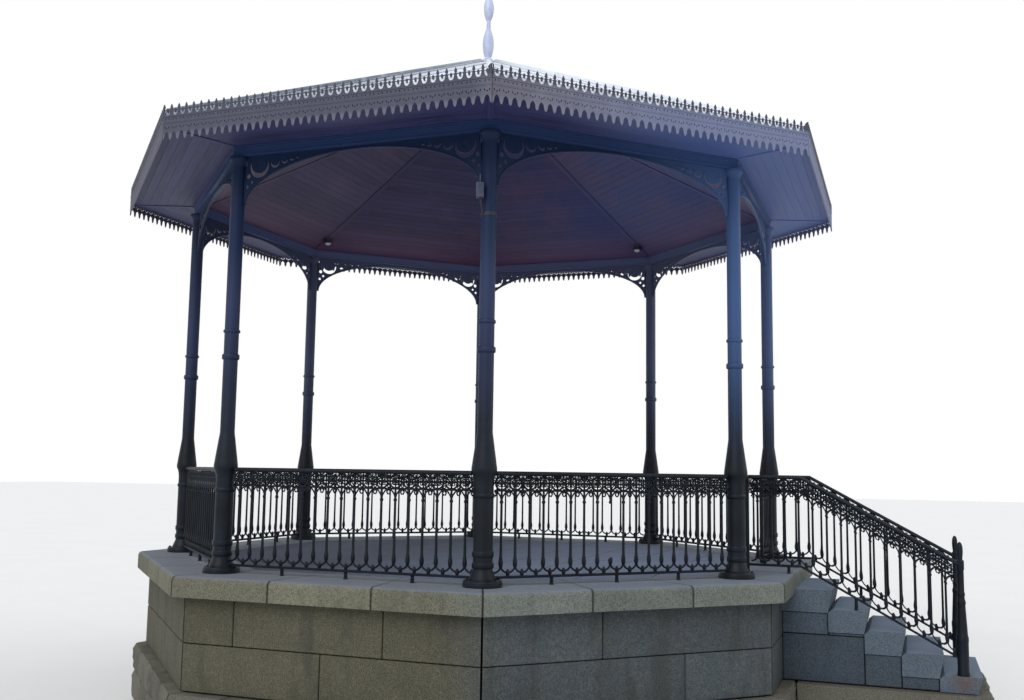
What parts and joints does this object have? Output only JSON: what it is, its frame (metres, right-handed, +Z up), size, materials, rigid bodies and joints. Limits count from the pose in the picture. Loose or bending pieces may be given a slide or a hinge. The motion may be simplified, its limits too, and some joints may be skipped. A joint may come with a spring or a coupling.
{
  "type": "bandstand",
  "caption": "Octagonal park bandstand: granite podium with steps, slender iron columns with openwork arches, balustrades, and a low pyramid roof with a finial.",
  "frame": {"origin": "middle of the octagon on the lowest ground plane, at the underside of the footing", "axes": "+Z up, the steps leave the flat that faces -Y, two other flats face +X and -X"},
  "size_m": [7.8188, 9.3058, 8.6489],
  "materials": {
    "rough_stone": "rough",
    "rubble": "rough",
    "granite": "weathered",
    "coping_stone": "weathered",
    "step_stone": "worn",
    "paving": "worn",
    "ironwork": "painted",
    "boards": "varnished",
    "timber": "sawn",
    "zinc": "weathered",
    "fascia_metal": "weathered",
    "lamp_metal": "painted",
    "lamp_body": "painted"
  },
  "bodies": {
    "root": {"footing": "rough_stone", "podium_fill": "rubble", "podium_wall": "granite", "coping": "coping_stone", "floor_slab": "paving", "steps": "step_stone", "stair_base": "granite", "return_panels": "ironwork", "stair_railing_left": "ironwork", "stair_railing_right": "ironwork", "ring_beam": "ironwork", "soffit": "boards", "ceiling": "boards", "roof_frame": "timber", "roof_covering": "zinc", "hip_rolls": "zinc", "fascia": "fascia_metal", "finial": "zinc", "ceiling_lamps": "lamp_metal", "floodlight": "lamp_body", "arch_1": "ironwork", "arch_2": "ironwork", "arch_3": "ironwork", "arch_4": "ironwork", "arch_5": "ironwork", "arch_6": "ironwork", "arch_7": "ironwork", "arch_8": "ironwork", "column_1": "ironwork", "column_2": "ironwork", "column_3": "ironwork", "column_4": "ironwork", "column_5": "ironwork", "column_6": "ironwork", "column_7": "ironwork", "column_8": "ironwork", "balustrade_1": "ironwork", "balustrade_2": "ironwork", "balustrade_3": "ironwork", "balustrade_4": "ironwork", "balustrade_5": "ironwork", "balustrade_6": "ironwork", "balustrade_7": "ironwork"}
  },
  "joints": []
}
